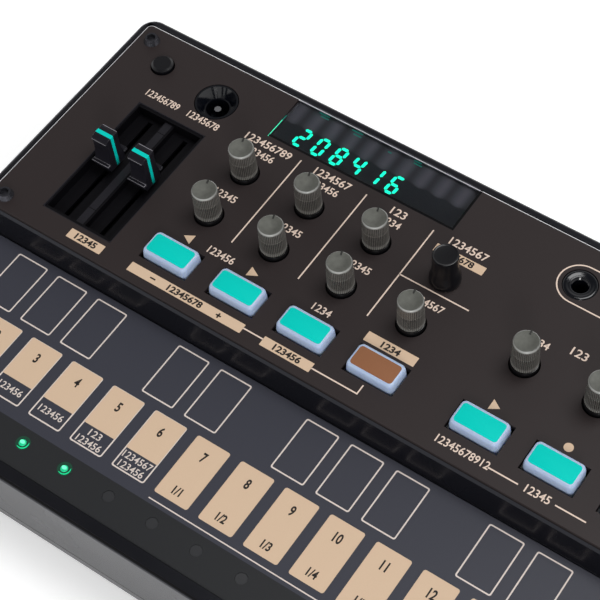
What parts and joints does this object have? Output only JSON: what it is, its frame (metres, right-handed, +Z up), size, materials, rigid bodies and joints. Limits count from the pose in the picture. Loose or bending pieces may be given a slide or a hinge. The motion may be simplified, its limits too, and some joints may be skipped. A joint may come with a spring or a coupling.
{
  "type": "desktop fm synthesizer",
  "caption": "Compact desktop FM synthesizer with a touch keyboard, clear fluted knobs, two faders, push buttons, a digit display and sockets along the rear of its panel.",
  "frame": {"origin": "middle of the footprint, on the table under the rubber feet", "axes": "+X to the player's right along the keyboard, +Y to the back, +Z up"},
  "size_m": [0.193, 0.115, 0.0391],
  "materials": {
    "case_plastic": "satin moulded plastic",
    "panel_finish": "satin brown-black coating",
    "keyboard_finish": "blue-grey satin print",
    "strip_finish": "satin",
    "clear_lens": "clear moulded",
    "diode": "small diode package",
    "circuit_board": "green solder mask",
    "ribbon": "flexible ribbon",
    "part_black": "moulded",
    "knob_black": "polished",
    "clear_smoke": "clear smoky moulding",
    "key_milky": "milky translucent plastic",
    "silicone": "silicone",
    "well_black": "moulded",
    "tin_plate": "tinned steel",
    "cap_black": "polished",
    "smoked_window": "smoked acrylic",
    "display_body": "dark display face",
    "socket_black": "moulded",
    "bright_steel": "nickel plated",
    "dark_steel": "black oxide",
    "rubber": "soft",
    "cell_jacket": "printed jacket",
    "ferrite": "ferrite",
    "paper_cone": "pressed paper"
  },
  "bodies": {
    "housing": {"upper_case": "case_plastic", "lower_case": "case_plastic", "rubber_feet": "rubber", "case_screws": "dark_steel", "panel_screws": "dark_steel", "board_screws": "bright_steel", "panel_plate": "panel_finish", "touch_plate": "keyboard_finish", "lamp_strip": "strip_finish", "lamp_lenses": "clear_lens", "lamp_diodes": "diode", "touch_board": "circuit_board", "main_board": "circuit_board", "flat_cable": "ribbon", "pot_bodies": "part_black", "encoder_body": "part_black", "dome_mat": "silicone", "slider_well": "well_black", "slide_pot_frames": "tin_plate", "display_window": "smoked_window", "display_module": "display_body", "jack_sockets": "socket_black", "dc_jack": "socket_black", "dc_pin": "bright_steel", "midi_socket": "socket_black", "power_switch": "part_black", "batteries": "cell_jacket", "battery_contacts": "tin_plate", "speaker_basket": "tin_plate", "speaker_magnet": "ferrite", "speaker_cone": "paper_cone"},
    "knob_mod_attack": {"knob_mod_attack": "clear_smoke"},
    "knob_mod_decay": {"knob_mod_decay": "clear_smoke"},
    "knob_car_attack": {"knob_car_attack": "clear_smoke"},
    "knob_car_decay": {"knob_car_decay": "clear_smoke"},
    "knob_lfo_rate": {"knob_lfo_rate": "clear_smoke"},
    "knob_lfo_depth": {"knob_lfo_depth": "clear_smoke"},
    "knob_algorithm": {"knob_algorithm": "clear_smoke"},
    "knob_arp_type": {"knob_arp_type": "clear_smoke"},
    "knob_arp_division": {"knob_arp_division": "clear_smoke"},
    "knob_tempo": {"knob_tempo": "clear_smoke"},
    "knob_volume": {"knob_volume": "clear_smoke"},
    "program_knob": {"program_knob": "knob_black", "encoder_shaft": "bright_steel"},
    "button_octave_down": {"button_octave_down": "key_milky"},
    "button_octave_up": {"button_octave_up": "key_milky"},
    "button_store": {"button_store": "key_milky"},
    "button_edit": {"button_edit": "key_milky"},
    "button_play": {"button_play": "key_milky"},
    "button_record": {"button_record": "key_milky"},
    "button_memory": {"button_memory": "key_milky"},
    "button_function": {"button_function": "key_milky"},
    "power_button": {"power_button": "part_black"},
    "slider_left": {"slider_cap_left": "cap_black", "slider_stem_left": "part_black"},
    "slider_right": {"slider_cap_right": "cap_black", "slider_stem_right": "part_black"},
    "battery_lid": {"battery_cover": "case_plastic"}
  },
  "joints": [
    {"name": "mod_attack_turn", "type": "hinge", "parent": "housing", "child": "knob_mod_attack", "pos_m": [-0.0491, 0.0302, 0.03], "axis": [0, 0, 1], "range_deg": [-173, 127]},
    {"name": "mod_decay_turn", "type": "hinge", "parent": "housing", "child": "knob_mod_decay", "pos_m": [-0.0491, 0.0167, 0.03], "axis": [0, 0, 1], "range_deg": [-167, 133]},
    {"name": "car_attack_turn", "type": "hinge", "parent": "housing", "child": "knob_car_attack", "pos_m": [-0.0315, 0.0302, 0.03], "axis": [0, 0, 1], "range_deg": [-170, 130]},
    {"name": "car_decay_turn", "type": "hinge", "parent": "housing", "child": "knob_car_decay", "pos_m": [-0.0315, 0.0167, 0.03], "axis": [0, 0, 1], "range_deg": [-168, 132]},
    {"name": "lfo_rate_turn", "type": "hinge", "parent": "housing", "child": "knob_lfo_rate", "pos_m": [-0.0138, 0.0302, 0.03], "axis": [0, 0, 1], "range_deg": [-166, 134]},
    {"name": "lfo_depth_turn", "type": "hinge", "parent": "housing", "child": "knob_lfo_depth", "pos_m": [-0.0138, 0.0167, 0.03], "axis": [0, 0, 1], "range_deg": [-172, 128]},
    {"name": "algorithm_turn", "type": "hinge", "parent": "housing", "child": "knob_algorithm", "pos_m": [0.00405, 0.0167, 0.03], "axis": [0, 0, 1], "range_deg": [-164, 136]},
    {"name": "arp_type_turn", "type": "hinge", "parent": "housing", "child": "knob_arp_type", "pos_m": [0.0293, 0.021, 0.03], "axis": [0, 0, 1], "range_deg": [-160, 140]},
    {"name": "arp_division_turn", "type": "hinge", "parent": "housing", "child": "knob_arp_division", "pos_m": [0.0468, 0.021, 0.03], "axis": [0, 0, 1], "range_deg": [-160, 140]},
    {"name": "tempo_turn", "type": "hinge", "parent": "housing", "child": "knob_tempo", "pos_m": [0.0646, 0.021, 0.03], "axis": [0, 0, 1], "range_deg": [-155, 145]},
    {"name": "volume_turn", "type": "hinge", "parent": "housing", "child": "knob_volume", "pos_m": [0.0822, 0.021, 0.03], "axis": [0, 0, 1], "range_deg": [-120, 180]},
    {"name": "program_turn", "type": "hinge", "parent": "housing", "child": "program_knob", "pos_m": [0.00405, 0.0302, 0.03], "axis": [0, 0, 1], "continuous": true},
    {"name": "button_octave_down_press", "type": "slide", "parent": "housing", "child": "button_octave_down", "axis": [0, 0, -1], "range_m": [0, 0.0008], "stiffness_N_per_m": 1200, "springref_m": -0.0004},
    {"name": "button_octave_up_press", "type": "slide", "parent": "housing", "child": "button_octave_up", "axis": [0, 0, -1], "range_m": [0, 0.0008], "stiffness_N_per_m": 1200, "springref_m": -0.0004},
    {"name": "button_store_press", "type": "slide", "parent": "housing", "child": "button_store", "axis": [0, 0, -1], "range_m": [0, 0.0008], "stiffness_N_per_m": 1200, "springref_m": -0.0004},
    {"name": "button_edit_press", "type": "slide", "parent": "housing", "child": "button_edit", "axis": [0, 0, -1], "range_m": [0, 0.0008], "stiffness_N_per_m": 1200, "springref_m": -0.0004},
    {"name": "button_play_press", "type": "slide", "parent": "housing", "child": "button_play", "axis": [0, 0, -1], "range_m": [0, 0.0008], "stiffness_N_per_m": 1200, "springref_m": -0.0004},
    {"name": "button_record_press", "type": "slide", "parent": "housing", "child": "button_record", "axis": [0, 0, -1], "range_m": [0, 0.0008], "stiffness_N_per_m": 1200, "springref_m": -0.0004},
    {"name": "button_memory_press", "type": "slide", "parent": "housing", "child": "button_memory", "axis": [0, 0, -1], "range_m": [0, 0.0008], "stiffness_N_per_m": 1200, "springref_m": -0.0004},
    {"name": "button_function_press", "type": "slide", "parent": "housing", "child": "button_function", "axis": [0, 0, -1], "range_m": [0, 0.0008], "stiffness_N_per_m": 1200, "springref_m": -0.0004},
    {"name": "power_press", "type": "slide", "parent": "housing", "child": "power_button", "axis": [0, 0, -1], "range_m": [0, 0.0008], "stiffness_N_per_m": 1500, "springref_m": -0.0004},
    {"name": "slider_left_slide", "type": "slide", "parent": "housing", "child": "slider_left", "axis": [0, 1, 0], "range_m": [-0.0141, 0.0116]},
    {"name": "slider_right_slide", "type": "slide", "parent": "housing", "child": "slider_right", "axis": [0, 1, 0], "range_m": [-0.0141, 0.0116]},
    {"name": "battery_lid_open", "type": "hinge", "parent": "housing", "child": "battery_lid", "pos_m": [0.031, -0.0215, 0.0022], "axis": [-1, 0, 0], "range_deg": [0, 75]}
  ]
}
